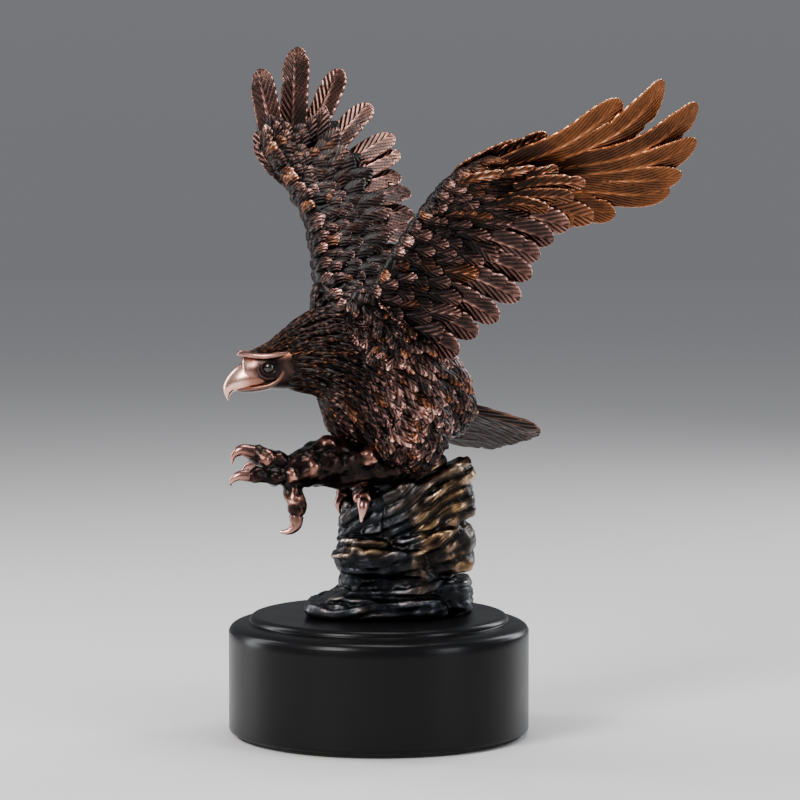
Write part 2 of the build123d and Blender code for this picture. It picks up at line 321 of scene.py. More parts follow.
def bronze(name, roughness=0.34, barb_depth=0.5, barb_tone=0.14, grain=0.25,
           palettes=(PATINA, WARM_PATINA)):
    """Dark patinated bronze, rubbed back to copper wherever the tone is high."""
    material, nodes, links = new_material(name)
    shader = nodes["Principled BSDF"]
    shader.inputs["Metallic"].default_value = 1.0
    shader.inputs["Coat Weight"].default_value = 0.12
    shader.inputs["Coat Roughness"].default_value = 0.25
    calc = partial(maths, nodes, links)
    coordinates = nodes.new("ShaderNodeTexCoord").outputs["Object"]
    mottle = node(nodes, "ShaderNodeTexNoise", Scale=420.0, Detail=4.0, Roughness=0.6)
    patches = node(nodes, "ShaderNodeTexNoise", Scale=60.0, Detail=2.0)
    links.new(coordinates, mottle.inputs["Vector"])
    links.new(coordinates, patches.inputs["Vector"])
    lines = calc("SINE", calc("MULTIPLY", attribute(nodes, "barb"), tau), 0)
    fine = calc("MULTIPLY", calc("SUBTRACT", mottle.outputs[0], 0.5), grain)
    broad = calc("MULTIPLY", calc("SUBTRACT", patches.outputs[0], 0.5), 0.35)
    worn = calc("ADD", attribute(nodes, "tone"), calc("ADD", fine, broad))
    worn = calc("ADD", worn, calc("MULTIPLY", lines, barb_tone), clamp=True)
    cool, warm = (ramp(nodes, palette) for palette in palettes)
    links.new(worn, cool.inputs[0])
    links.new(worn, warm.inputs[0])
    mix = nodes.new("ShaderNodeMix")
    mix.data_type = "RGBA"
    links.new(attribute(nodes, "warm"), mix.inputs["Factor"])
    links.new(cool.outputs[0], mix.inputs[6])
    links.new(warm.outputs[0], mix.inputs[7])
    links.new(mix.outputs[2], shader.inputs["Base Color"])
    rough = calc("SUBTRACT", roughness + 0.08, calc("MULTIPLY", worn, 0.14))
    rough = calc("ADD", rough, calc("MULTIPLY", fine, 0.3))
    links.new(rough, shader.inputs["Roughness"])
    height = calc("ADD", calc("MULTIPLY", lines, 0.6), mottle.outputs[0])
    bump = node(nodes, "ShaderNodeBump", Strength=barb_depth, Distance=0.0006)
    links.new(height, bump.inputs["Height"])
    links.new(bump.outputs[0], shader.inputs["Normal"])
    return material


def plain(name, colour, roughness, metallic=0.0, coat=0.0, coat_roughness=0.1,
          specular=0.5, bump_scale=0.0, bump_strength=0.1):
    """One colour with a faint uneven gloss, and an optional fine grain."""
    material, nodes, links = new_material(name)
    shader = nodes["Principled BSDF"]
    shader.inputs["Base Color"].default_value = (*colour, 1)
    shader.inputs["Metallic"].default_value = metallic
    shader.inputs["Coat Weight"].default_value = coat
    shader.inputs["Coat Roughness"].default_value = coat_roughness
    shader.inputs["Specular IOR Level"].default_value = specular
    calc = partial(maths, nodes, links)
    coordinates = nodes.new("ShaderNodeTexCoord").outputs["Object"]
    cloud = node(nodes, "ShaderNodeTexNoise", Scale=90.0, Detail=3.0)
    links.new(coordinates, cloud.inputs["Vector"])
    uneven = calc("MULTIPLY", cloud.outputs[0], 0.08)
    links.new(calc("ADD", uneven, roughness - 0.04), shader.inputs["Roughness"])
    if bump_scale:
        grain = node(nodes, "ShaderNodeTexNoise", Scale=bump_scale, Detail=3.0)
        links.new(coordinates, grain.inputs["Vector"])
        bump = node(nodes, "ShaderNodeBump", Strength=bump_strength, Distance=0.0005)
        links.new(grain.outputs[0], bump.inputs["Height"])
        links.new(bump.outputs[0], shader.inputs["Normal"])
    return material


feather_bronze = bronze("feather_bronze", barb_depth=0.6, barb_tone=0.13)
flight_bronze = bronze("flight_bronze", barb_depth=0.3, barb_tone=0.07)
smooth_bronze = bronze("smooth_bronze", roughness=0.3, barb_depth=0.06, grain=0.12)
rock_bronze = bronze("rock_bronze", roughness=0.36, barb_depth=0.35, grain=0.3,
                     palettes=(ROCK_PATINA, ROCK_GILT))
lacquer = plain("black_lacquer", (0.0035, 0.0035, 0.004), 0.3, coat=0.05, coat_roughness=0.15,
                specular=0.12)
felt = plain("black_felt", (0.02, 0.02, 0.02), 0.95, bump_scale=3000.0, bump_strength=0.6)
steel = plain("zinc_steel", (0.5, 0.5, 0.52), 0.35, metallic=1.0)
eye_glass = plain("eye_glass", (0.006, 0.004, 0.003), 0.08, coat=0.2, coat_roughness=0.02)


# ---------------------------------------------------------------- feathers
def small_feather(rows=9, across=9, rise=0.2, belly=0.12, roundness=2.2, narrow=0.7):
    """A template for small feathers: (along, aside, height, tone) over a closed loop per row.

    along is 0 at the root and 1 at the tip; aside is in half-widths and height in lengths.
    """
    along = np.append(1 - (1 - np.linspace(0, 1, rows - 1)) ** 1.35, 1.0)[:, None]
    along[-2] = 0.965
    aside = np.append(np.linspace(-1, 1, across), [0.8, -0.8])[None, :]
    top = (np.arange(across + 2) < across)[None, :]
    spread = narrow + (1 - narrow) * blend_in(0, 0.5, along)
    rounding = np.sqrt(np.maximum(1 - (np.clip(along - 0.5, 0, 1) / 0.5) ** roundness, 0.03))
    crown = rise * along**1.15 + belly * np.sin(pi * along) * 0.5 + 0.01
    crown = crown * (1 - 0.5 * np.abs(aside) ** 2.5)
    crown = crown + 0.03 * np.exp(-((aside / 0.16) ** 2)) * blend_in(0.1, 0.5, along)
    crown = np.where(along >= 1, crown * 0.62, crown)
    height = np.where(top, crown, -0.06)
    middle = np.exp(-((aside / 0.22) ** 2))
    rim = np.abs(aside) ** 4 * blend_in(0.35, 0.7, along)
    tone = 0.06 + 0.74 * along**2.0 + 0.12 * middle + 0.2 * rim - 0.16 * np.abs(aside) * (1 - along)
    tone = np.where(top, np.where(along >= 1, 0.6, tone), 0.02)
    return np.broadcast_to(along, height.shape), spread * rounding * aside, height, tone


def barb_lines(x, y, slant, pitch):
    """Counts the barbs at x along and y across a feather, in millimetres; they slant to the tip."""
    return (x * sin(slant) - np.abs(y) * cos(slant)) / pitch


def long_feather(length, width, thickness, pitch, slant, groove, notches=2):
    """A flight feather: both faces, a raised quill, and slanting grooves between its barbs.

    Gives along, aside and height in millimetres, with tone and barb number, for a closed loop
    per row.
    """
    rows = max(int(length / 1.1), 20)
    half = 14
    across = np.linspace(-1, 1, 2 * half + 1)
    aside = np.concatenate([across, across[-2:0:-1]])[None, :]
    face = np.concatenate([np.ones(2 * half + 1), -np.ones(2 * half - 1)])[None, :]
    edge = np.abs(np.abs(aside) - 1) < 1e-6
    share = (1 - (1 - np.linspace(0, 1, rows)) ** 1.25)[:, None]
    outline = (0.55 + 0.45 * blend_in(0, 0.35, share)) * np.sqrt(
        np.maximum(1 - (np.clip(share - 0.78, 0, 1) / 0.22) ** 2.4, 0.015))
    for place in chance.uniform(0.45, 0.93, notches):
        side = chance.choice([-1, 1])
        cut = np.exp(-(((share - place) * length / 1.0) ** 2)) * 0.2
        outline = outline * (1 - cut * (np.sign(aside) == side))
    x = share * length
    y = outline * aside * width / 2
    lines = barb_lines(x, y, slant, pitch)
    taper = 1 - 0.4 * share
    vane = thickness / 2 * taper * (1 - 0.5 * aside**2)
    quill = 0.4 * np.exp(-((y / 0.55) ** 2)) * (1 - 0.5 * share)
    streak = np.cos(tau * lines) * blend_in(0.06, 0.22, np.abs(aside)) * blend_in(0, 0.1, share)
    height = face * np.where(edge, 0, vane + quill + groove * streak)
    height = height * np.sqrt(np.clip((1.02 - share) / 0.06, 0.05, 1))
    tone = 0.36 + 0.7 * groove * streak + 0.42 * np.exp(-((y / 0.5) ** 2)) * blend_in(0.95, 0.7, share)
    tone = tone + 0.55 * np.abs(aside) ** 10 + 0.2 * blend_in(0.8, 1, share)
    tone = tone * (0.4 + 0.6 * blend_in(0.15, 0.6, share))
    return np.broadcast_to(x, height.shape), y, height, tone, lines


SCALE = small_feather()
BROAD_SCALE = small_feather(rise=0.24, belly=0.2, roundness=3.0)
SLIM = small_feather(rise=0.17, belly=0.1, roundness=1.6, narrow=0.6)
HACKLE = small_feather(rise=0.12, belly=0.07, roundness=1.3, narrow=0.6, across=7)
CROWN = small_feather(rise=0.07, belly=0.05, roundness=1.3, narrow=0.6, across=5)
BARB_SLANT, BARB_PITCH = radians(20), 1.25
SINK = 0.1  # how far a small feather is let into the skin under it, in millimetres


# Chance varies a feather's length, its width and how far it stands off, within these shares.
LENGTHS, WIDTHS, LIFTS = (0.85, 1.2), (0.8, 1.1), (0.8, 1.25)


def stray_warmth():
    """One feather in seven is left browner than those round it."""
    return 0.75 * (chance.random() < 1 / 7)


def lay_on_skin(sculpture, skin, root, normal, flow, length, width, template, warm, shine):
    """One small feather laid on a skin, following its curve. Sizes are in millimetres."""
    along, aside, height, tone = template
    ahead = unit(flow - normal * np.dot(flow, normal))
    side = np.cross(normal, ahead)
    flat = root + along[..., None] * length * ahead + aside[..., None] * width / 2 * side
    count = flat.shape[0] * flat.shape[1]
    places, normals = np.empty((count, 3)), np.empty((count, 3))
    for k, point in enumerate((flat.reshape(-1, 3) * 0.001).tolist()):
        place, facing, _, _ = skin.find_nearest(point)
        places[k], normals[k] = place, facing
    places = places.reshape(flat.shape) * 1000
    normals = unit(normals.reshape(flat.shape) + normal)
    lift = chance.uniform(*LIFTS)
    rings = places + normals * (height[..., None] * length * lift - SINK)
    lines = barb_lines(along * length, aside * width / 2, BARB_SLANT, BARB_PITCH)
    sculpture.tube(rings, np.clip(tone * shine, 0, 1), warm, lines)


def blade_rings(line, across, shape):
    """Places a long feather's shape along a line of points, with its width along across."""
    x, y, height = shape
    runs = np.concatenate([[0], np.cumsum(np.linalg.norm(np.diff(line, axis=0), axis=1))])
    share = x[:, 0] / x[-1, 0] * runs[-1]
    centre = np.stack([np.interp(share, runs, line[:, k]) for k in range(3)], axis=-1)
    ahead = unit(np.gradient(centre, axis=0))
    side = unit(across - ahead * (ahead @ across)[:, None])
    normal = np.cross(ahead, side)
    return centre[:, None] + y[..., None] * side[:, None] + height[..., None] * normal[:, None]


# ---------------------------------------------------------------- wings
class Wing:
    """A wing as a surface between its leading edge and the line through its feather tips.

    A place on it is a share along the wing and a distance back from the leading edge, in
    millimetres. On the face 1 or -1, a distance below 0 is round the edge on the other face.
    """

    nose = 5.5

    def __init__(self, lead, tips, outward, thickness, camber, bow):
        self.lead = Path(placed(lead), even=False)
        self.tips = Path(placed(tips), even=False)
        self.count = len(tips)
        self.outward = np.array(outward, float)
        self.thickness, self.camber, self.bow = thickness, camber, bow

    def axes(self, share):
        """Leading edge point, chord vector, unit back direction in the surface, and unit normal."""
        share = np.asarray(share, float)
        start = self.lead.at(share)
        chord = self.tips.at(share) - start
        span = unit(self.lead.at(np.minimum(share + 0.05, 1)) - self.lead.at(np.maximum(share - 0.05, 0)))
        ahead = unit(chord)
        inward = -unit(span - ahead * np.sum(span * ahead, axis=-1, keepdims=True))
        normal = unit(np.cross(span, ahead))
        normal = normal * np.sign(np.sum(normal * self.outward, axis=-1, keepdims=True))
        return start, chord, inward, normal

    def middle(self, share, depth):
        """A point on the mid surface. depth runs from 0 at the leading edge to 1 at the tips."""
        start, chord, inward, normal = self.axes(share)
        length = np.linalg.norm(chord, axis=-1, keepdims=True)
        depth = np.asarray(depth, float)[..., None]
        bow = np.interp(share, *self.bow)[..., None] * length
        curve = 2 * depth * (1 - depth)
        return start + depth * chord + curve * bow * inward - 2 * curve * self.camber * normal

    def surface(self, share, back, face):
        """A point on one face, and the outward normal there."""
        _, chord, _, normal = self.axes(share)
        length = np.linalg.norm(chord, axis=-1)
        side = np.where(np.asarray(back) < 0, -face, face)
        back = np.abs(back)
        turn = 1 - np.clip(back / self.nose, 0, 1)
        rise = np.sqrt(np.maximum(1 - turn**2, 0))
        deep = self.thickness[0] + (self.thickness[1] - self.thickness[0]) * np.clip(share, 0, 1)
        deep = deep * (1 - 0.7 * blend_in(0.85, 1, share))
        half = deep / 2 * rise * (1 - 0.8 * blend_in(5, 30, back)) + 0.25 * rise
        point = self.middle(share, back / length) + (side * half)[..., None] * normal
        facing = unit((side * rise)[..., None] * normal - turn[..., None] * unit(chord))
        return point, facing

    def core(self, reach=24.0, end=0.7):
        """The arm under the coverts, as a closed tube."""
        backs = reach * (1 - np.cos(np.linspace(0, pi, 18))) / 2
        loops = []
        for share in np.linspace(0, end, 60):
            shares = np.full(len(backs), share)
            narrowed = backs * (1 - 0.65 * blend_in(end - 0.3, end, share))
            upper, _ = self.surface(shares, narrowed + 1e-6, 1)
            lower, _ = self.surface(shares, narrowed + 1e-6, -1)
            loops.append(np.vstack([upper, lower[-2:0:-1]]))
        return np.array(loops)

    def covert(self, sculpture, share, back, length, turn, width, face, template, warm, shine):
        """One small feather laid along the surface. Sizes in millimetres, turn in radians."""
        along, aside, height, tone = template
        near = self.middle(np.array([share - 0.02, share + 0.02]), np.full(2, back / 50))
        per_share = np.linalg.norm(near[1] - near[0]) / 0.04
        x, y = along * length, aside * width / 2
        backs = back + x * cos(turn) - y * sin(turn)
        shares = np.clip(share + (x * sin(turn) + y * cos(turn)) / per_share, 0, 1)
        points, normals = self.surface(shares, backs, face)
        lift = chance.uniform(0.75, 1.3)
        rings = points + normals * (height[..., None] * length * lift - SINK)
        if face < 0:
            rings, tone, y = rings[:, ::-1], tone[:, ::-1], y[:, ::-1]
        lines = barb_lines(x, y, BARB_SLANT, BARB_PITCH)
        sculpture.tube(rings, np.clip(tone * shine, 0, 1), warm, lines)


# The pitch and slant of a flight feather's barbs, and the depth of the grooves between them.
FINE_BARBS = (1.1, radians(12), 0.1)
COARSE_BARBS = (1.7, radians(27), 0.26)
TAIL_BARBS = (2.1, radians(14), 0.12)


def feather_on_line(sculpture, line, across, width, thickness, warm, shine, barbs):
    """A flight feather along a line of points, as wide as width across its middle."""
    length = np.linalg.norm(np.diff(line, axis=0), axis=1).sum()
    x, y, height, tone, lines = long_feather(length, width, thickness, *barbs)
    rings = blade_rings(line, across, (x, y, height))
    sculpture.tube(rings, np.clip(tone * shine, 0, 1), warm, lines)


# painted_light_level is a painted brightness for the whole wing, standing in for how strongly light falls
# on it.
def build_wing(wing, name, hand, alula, warm_tip, painted_light_level, covert_reach, hand_barbs):
    """Core and coverts as one piece, and the flight feathers as another.

    The arm's feathers follow the wing's surface. hand holds the outer ones, from the outermost
    in, each as the points of its quill and its width; alula holds the short ones at the wrist.
    """
    flight, coverts = Sculpture(), Sculpture()
    last = wing.count - 1
    for i in range(wing.count - len(hand)):
        share = i / last
        depths = np.linspace(BLADES["root"], 1, 40)
        _, _, inward, normal = wing.axes(share)
        curl = blend_in(0.55, 1, (depths - depths[0]) / (1 - depths[0])) * BLADES["curl"]
        line = wing.middle(np.full(40, share), depths) + normal * BLADES["stack"] * (i % 2 - 0.5)
        line = line - normal * (curl * chance.uniform(0.3, 1.5))[:, None]
        warm = warm_tip * blend_in(0.4, 0.55, share)
        feather_on_line(flight, line, -inward + normal * BLADES["twist"], BLADES["width"],
                        BLADES["thickness"], warm, painted_light_level * chance.uniform(0.85, 1.2), COARSE_BARBS)
    steps = np.linspace(0, 1, 40)
    for k, (points, width) in enumerate(hand):
        line = Path(placed(points)).at(steps)
        _, _, inward, normal = wing.axes(0.75 - 0.2 * k / len(hand))
        line = line - normal * 0.7 * k + normal * BLADES["curl"] * blend_in(0.6, 1, steps)[:, None]
        feather_on_line(flight, line, -inward + normal * BLADES["twist"], width, BLADES["thickness"],
                        warm_tip, painted_light_level * chance.uniform(0.9, 1.1), hand_barbs)
    # The alula's shine is a painted highlight along the lit leading edge of the wrist.
    for points, width, shine in alula:
        line = Path(placed(points)).at(steps)
        _, _, inward, normal = wing.axes(0.9)
        feather_on_line(coverts, line, -inward, width, BLADES["thickness"], warm_tip * 0.8,
                        shine, COARSE_BARBS)
    coverts.tube(wing.core(), 0.05)
    for face in (1, -1):
        for k, (back, length, turn, spacing, width, template, shine, end) in enumerate(COVERT_ROWS):
            ends = wing.middle(np.linspace(0, 1, 30), np.full(30, max(back, 0) / 55))
            steps = int(np.linalg.norm(np.diff(ends, axis=0), axis=1).sum() / spacing)
            for j in range(steps):
                share = (j + 0.5 * (k % 2) + chance.uniform(-0.2, 0.2)) / steps
                if not 0 < share < end * covert_reach:
                    continue
                size = chance.uniform(*LENGTHS)
                # Painted light: the wing's painted light level scales each covert's tone.
                bright = painted_light_level * shine * chance.uniform(0.5, 1.35)
                warm = max(warm_tip * 0.85 * blend_in(0.45, 0.75, share), stray_warmth())
                wing.covert(coverts, share, back + chance.uniform(-0.6, 0.6), length * size,
                            radians(turn + chance.normal(0, 13)), width * chance.uniform(0.85, 1.1), face,
                            template, warm, bright)
    piece(name + "_flight_feathers", flight, flight_bronze, (name,))
    piece(name + "_coverts", coverts, feather_bronze, (name,))


LEFT_LEAD = [
    (-7, -14, 164), (2, -20, 180), (10, -25, 193), (18, -29.5, 204.5), (24, -32.5, 211.5),
    (31, -35, 216.8), (37.5, -37, 220), (43, -38.5, 222.3), (48, -40, 224.3),
]
LEFT_TIPS = [
    (30, -13, 146), (37, -16, 153), (45, -18, 159), (53, -21, 167), (57, -24, 175), (60, -27, 183),
    (65, -29, 189), (71, -31, 195), (80, -34, 198), (90, -38, 202), (100, -41, 206), (107, -44, 211),
    (109, -47, 217), (115, -51, 228), (112, -53, 240), (99, -54, 248), (83, -50, 242),
]
RIGHT_LEAD = [
    (-18, 5, 159), (-25, 17, 174), (-27, 29, 187), (-30, 37, 198), (-36, 44, 208), (-42, 50, 215.5),
    (-46, 55, 221.5), (-47.5, 59, 226),
]
RIGHT_TIPS = [
    (14, 18, 156), (15, 25, 165), (14, 33, 173), (13, 42, 181), (14, 50, 189), (13, 57, 197),
    (11, 63, 205), (7, 69, 212), (8, 74, 221), (5, 78, 229), (-5, 84, 242), (-17, 88, 256),
    (-34, 89, 265), (-50, 82, 256),
]
# The outer feathers, from the outermost in: the points of each quill, then its width.
LEFT_HAND = [
    ([(38, -37, 214.5), (57.7, -43, 220.4), (70.9, -47, 226.7), (80.3, -50, 233.7), (88.5, -52, 242)], 12),
    ([(42, -37, 214), (67.8, -44, 220.4), (80.3, -47.5, 225.5), (89.7, -50, 231.2), (97.5, -52, 239),
      (103.5, -53.5, 249)], 12),
    ([(46, -37, 213.5), (74, -44, 217.3), (89.7, -47, 220.4), (101, -49.5, 225.5), (109.8, -51, 233),
      (116, -52, 240.5)], 12),
    ([(47, -36, 212), (77, -43, 214.1), (93, -46, 216), (106, -48.5, 220.4), (116, -50, 227)], 11.5),
    ([(47, -35, 209.5), (77, -41.5, 211.3), (93, -44, 211.3), (102.3, -45.5, 212.2),
      (111, -46.5, 214.4)], 11.5),
    ([(46, -34, 206), (74, -39, 207.1), (90, -41.5, 206.2), (99, -42.5, 206.6), (107, -43, 208)], 11.5),
    ([(44, -32, 203), (67.8, -36, 202.1), (78.4, -37, 200.5), (87.3, -37.5, 198.6)], 11.5),
    ([(40, -30, 200), (61.5, -33, 198.3), (72, -33.5, 195.1)], 11),
]
RIGHT_HAND = [
    ([(-42, 60, 220), (-43.5, 68, 231), (-46, 76, 243), (-48.5, 82, 256)], 11),
    ([(-36, 60, 218), (-34.8, 70, 232), (-34.3, 79, 246), (-33.5, 88, 264.5)], 12.5),
    ([(-34, 60, 216), (-28, 70, 228), (-22, 79, 241), (-16.5, 87, 255.5)], 12),
    ([(-32, 58, 212), (-21, 68, 221), (-12.5, 76, 231), (-4.5, 83, 241)], 12),
    ([(-30, 55, 208), (-16, 65, 213.5), (-5, 72, 221), (5, 78, 228)], 11.5),
    ([(-29, 52, 203), (-14, 61, 208.5), (-3, 68, 215), (7, 73.5, 220.5)], 11),
]
# Short feathers at the wrist, and the first row under the leading edge: points, width, and shine, which
# paints a highlight on the lit wrist.
LEFT_ALULA = [
    ([(26, -31, 211), (36, -33.5, 218), (46, -36, 222.6)], 8, 0.9),
    ([(34, -33, 217), (44, -36, 222.5), (54, -39, 226)], 7, 1.1),
    ([(43, -36, 221), (52, -39, 225), (62, -42.5, 229.3)], 6, 1.15),
    ([(30, -38, 211.5), (38, -41.5, 213.5), (47.5, -44, 214.8)], 4.6, 1.3),
    ([(45, -43, 214.2), (51, -45, 215.4), (58, -46.5, 216.4)], 4.6, 1.35),
    ([(55, -45, 213.6), (60, -46.5, 215), (66, -47.5, 216.8)], 5.4, 1.2),
    ([(50, -42, 209.5), (62, -45.5, 211.4), (76, -47, 211.4)], 8, 1.05),
    ([(48, -40, 206), (60, -43, 206.6), (72, -45, 206.4)], 8, 0.8),
    ([(44, -37, 203.5), (54, -40, 203.8), (63, -41.5, 201.5)], 8, 0.9),
]
RIGHT_ALULA = [
    ([(-38, 47, 210), (-44, 53, 217.5), (-49, 57, 225)], 5, 0.9),
    ([(-40, 50, 213), (-45.5, 57, 222), (-48.5, 62, 230)], 6, 0.9),
]
# Each row of coverts: distance back, length, turn towards the tip in degrees, spacing, width,
# template, shine, and the share of the wing where it ends. Distances are millimetres.
COVERT_ROWS = [
    (19.5, 15.0, 10, 6.6, 8.4, SLIM, 0.75, 0.66),
    (15.5, 11.5, 12, 5.8, 7.0, SLIM, 0.7, 0.7),
    (12.0, 8.5, 14, 5.2, 6.2, SCALE, 0.7, 0.72),
    (8.8, 7.5, 15, 4.9, 6.0, SCALE, 0.75, 0.75),
    (5.6, 7.0, 16, 4.7, 5.8, SCALE, 0.85, 0.78),
    (2.4, 6.6, 16, 4.7, 5.8, BROAD_SCALE, 1.05, 0.8),
    (-0.8, 6.2, 16, 4.7, 5.8, BROAD_SCALE, 1.25, 0.8),
]
BLADES = {"root": 0.12, "width": 12.0, "thickness": 1.8, "twist": 0.2, "stack": 0.9, "curl": 1.6}
BOW = ([0, 0.25, 0.45, 0.6, 0.85, 0.95, 1.0], [-0.05, -0.04, 0.03, 0.12, 0.14, 0.1, 0.05])

left = Wing(LEFT_LEAD, LEFT_TIPS, (0.3, -1, -0.3), (9.5, 4.5), 2.0, BOW)
right = Wing(RIGHT_LEAD, RIGHT_TIPS, (0.2, 1, -0.3), (9.5, 4.5), 2.0, BOW)
# The number after the warmth is each wing's painted light level, a painted brightness that scales the tone
# of all its feathers.
build_wing(left, "left_wing", LEFT_HAND, LEFT_ALULA, 1.0, 1.0, 1.0, FINE_BARBS)
build_wing(right, "right_wing", RIGHT_HAND, RIGHT_ALULA, 0.15, 0.95, 1.16, COARSE_BARBS)


# ---------------------------------------------------------------- body
# Each station of the spine: place, then half height and half width, from head to rump.
SPINE = [
    (-51, -11, 139.4, 6.0, 4.8), (-44, -11, 140.5, 7.7, 7.8), (-37, -10.8, 142, 9.8, 9.6),
    (-29, -10.2, 144.6, 13.2, 12.2), (-20, -9, 146, 16.6, 15.4), (-10, -6.6, 142.2, 20.6, 19.0),
    (2, -2, 134, 26.5, 21.5), (12, 3, 130, 23.5, 20), (21, 7, 127, 17, 16), (27, 10, 123, 11, 12.5),
    (30.5, 12, 121, 7, 9),
]
LEFT_SHOULDER = [(6, -8, 144, 12), (-1, -13, 155, 10.5), (-5, -16, 164, 7), (-4, -18, 171, 4.5)]
RIGHT_SHOULDER = [(-4, 2, 144, 12), (-14, 7, 154, 10), (-19, 11, 163, 6.5), (-22, 16, 171, 4)]
LEFT_THIGH = [(14, -4, 132, 13), (12, -9, 121, 14.5), (9.5, -13, 111, 12.5), (7, -14, 105, 9)]
RIGHT_THIGH = [(11, 12, 130, 12), (9, 14, 119, 13), (6, 12, 109, 10.5), (3, 9, 103, 7)]
# The hollow round each eye: its depth and width. Then the distances from the eye over which the
# face grows lighter and the hollow grows dark again, and by how much.
SOCKET_DEPTH, SOCKET_WIDTH = 1.3, 4.2
EYE_RING, EYE_DARK, EYE_GLOW = (14, 8), (6.5, 3.5), 0.3
# How far behind the eye the cheek has a bright spot, the distances over which it comes in, and its
# strength.
BEHIND_EYE, CHEEK_FADE, CHEEK_GLOW = 6.2, (3.2, 1.0), 0.3
# Where the bare face brightens towards the beak, by how much, and the strength of its wrinkles.
FACE_X, FACE_GLOW, WRINKLES = (base_middle[0] - 43, base_middle[0] - 50), 0.5, 0.15
# Where the crown turns brown and lighter, from back to front and from below, and by how much.
CROWN_X, CROWN_Z = (base_middle[0] - 18, base_middle[0] - 34), (144.5, 148)
CROWN_GLOW = 0.42
# The lit flank carries a painted highlight, and the chest and belly painted shade: where along the spine
# the flank lies, how far it spreads, the painted light level everywhere else, and the extra painted
# highlight at its middle.
FLANK_SHARE, FLANK_SPREAD, FLANK_LEAST, FLANK_EXTRA = 0.72, 18.0, 0.46, 0.58


def spine_rings(rows, around):
    """Rings round the spine. The first angle is straight up; angles run towards the left side."""
    path = Path(placed(SPINE))
    shares = np.linspace(0, 1, rows)
    centres, ahead = path.at(shares), path.along(shares, 0.04)
    side, lift = loop_frame(ahead, np.array([0.0, 0, 1]))
    tall, wide = centres[:, 3][:, None, None], centres[:, 4][:, None, None]
    ring = cos_sin(turn_steps(around))
    spread = ring[None, :, :1] * lift[:, None] * tall + ring[None, :, 1:] * side[:, None] * wide
    return centres[:, None, :3] + spread


clay = Sculpture()
clay.tube(spine_rings(60, 48))
for limb in (LEFT_THIGH, RIGHT_THIGH, LEFT_SHOULDER, RIGHT_SHOULDER):
    clay.tube(limb_rings(Path(placed(limb)), 24, 32))
body_mesh = remeshed(clay.mesh("body_clay"), 0.9, 6)
points, normals = mesh_points(body_mesh)
tone = np.full(len(points), 0.05)
for eye_node in ("left_eye", "right_eye"):
    eye_middle = box_middle(eye_node)
    away = np.linalg.norm(points - eye_middle, axis=1)
    points = points - normals * (SOCKET_DEPTH * np.exp(-((away / SOCKET_WIDTH) ** 2)))[:, None]
    tone = tone + EYE_GLOW * blend_in(*EYE_RING, away) - EYE_GLOW * blend_in(*EYE_DARK, away)
    behind = points - eye_middle - np.array([BEHIND_EYE, 0, 0])
    behind = np.linalg.norm(behind / np.array([1, 1, 1.7]), axis=1)
    tone = tone + CHEEK_GLOW * blend_in(*CHEEK_FADE, behind)
tone = tone + FACE_GLOW * blend_in(*FACE_X, points[:, 0])
tone = tone + WRINKLES * noise_at(points * np.array([1, 1, 0.4]), 1.6, 4.0)
move_points(body_mesh, points)
crown = blend_in(*CROWN_X, points[:, 0]) * blend_in(*CROWN_Z, points[:, 2])
with_tone(body_mesh, np.clip(tone + CROWN_GLOW * crown, 0.02, 0.85), crown)
body_skin = BVHTree.FromPolygons([v.co for v in body_mesh.vertices],
                                 [p.vertices for p in body_mesh.polygons])
piece("body_core", body_mesh, smooth_bronze, ("body",))


def painted_flank_light(root):
    """Painted light: feathers are painted brightest on the lit flanks, with painted shade on the chest and
    belly.
    """
    centre = Vector(spine_path.at(FLANK_SHARE)[:3].tolist())
    away = np.array([root[0] - centre.x - 2, root[2] - centre.z - 2])
    return FLANK_LEAST + FLANK_EXTRA * np.exp(-(away @ away) / (2 * FLANK_SPREAD**2))


# Feathers in a row stand this share of their width apart, and chance moves each by up to this share
# of the distance to its neighbours.
OVERLAP, SHUFFLE = 0.8, 0.25


def lay_rows(sculpture, path, span, spacing, sizes, template, lean, shine, warm=0.0, keep=None):
    """Rows of feathers round a path, over a span of its shares, on the body's skin.

    sizes gives the feather's length and width at the first and last row, in millimetres.
    """
    first, last = span
    first_size, last_size = np.array(sizes, float)
    rows = int(path.length * abs(last - first) / spacing)
    for row in range(rows):
        progress = row / max(rows - 1, 1)
        share = first + (last - first) * progress
        station = path.at(share)
        ahead = path.along(share, 0.04)
        side, lift = loop_frame(ahead, np.array([0.0, 0.0, 1.0]))
        length, width = first_size + (last_size - first_size) * progress
        radius = station[3]
        around = max(int(tau * radius / (width * OVERLAP)), 8)
        for j in range(around):
            angle = tau * (j + 0.5 * (row % 2) + chance.uniform(-SHUFFLE, SHUFFLE)) / around
            out = cos(angle) * lift + sin(angle) * side
            start = station[:3] + ahead * chance.uniform(-SHUFFLE, SHUFFLE) * spacing
            source = Vector((start * 0.001).tolist())
            hit, facing, _, distance = body_skin.ray_cast(source, Vector(out.tolist()))
            if hit is None:
                continue
            root, facing = np.array(hit) * 1000, np.array(facing)
            if keep is not None and not keep(root, distance * 1000, radius, out):
                continue
            flow = ahead + np.array([0, 0, -lean]) + chance.normal(0, 0.13, 3)
            # The flank's painted highlight and the chest's painted shade scale each feather's tone.
            bright = shine * painted_flank_light(root) * chance.uniform(0.65, 1.35)
            lay_on_skin(sculpture, body_skin, root, facing, flow, length * chance.uniform(*LENGTHS),
                        width * chance.uniform(*WIDTHS), template, max(warm, stray_warmth()), bright)


def near_own_skin(_, distance, radius, __):
    """Keeps a limb's feathers off the skin of the parts next to it."""
    return abs(distance - radius) < 2.8


# Where the feathers start on the crown and on the cheeks.
crown_start, cheek_start = base_middle[0] - 52.5, base_middle[0] - 34.5


def behind_face(root, _, __, out):
    """Leaves the face bare: feathers start further back at the cheeks than on the crown."""
    edge = crown_start + (cheek_start - crown_start) * blend_in(0.85, 0.45, out[2])
    return root[0] > edge


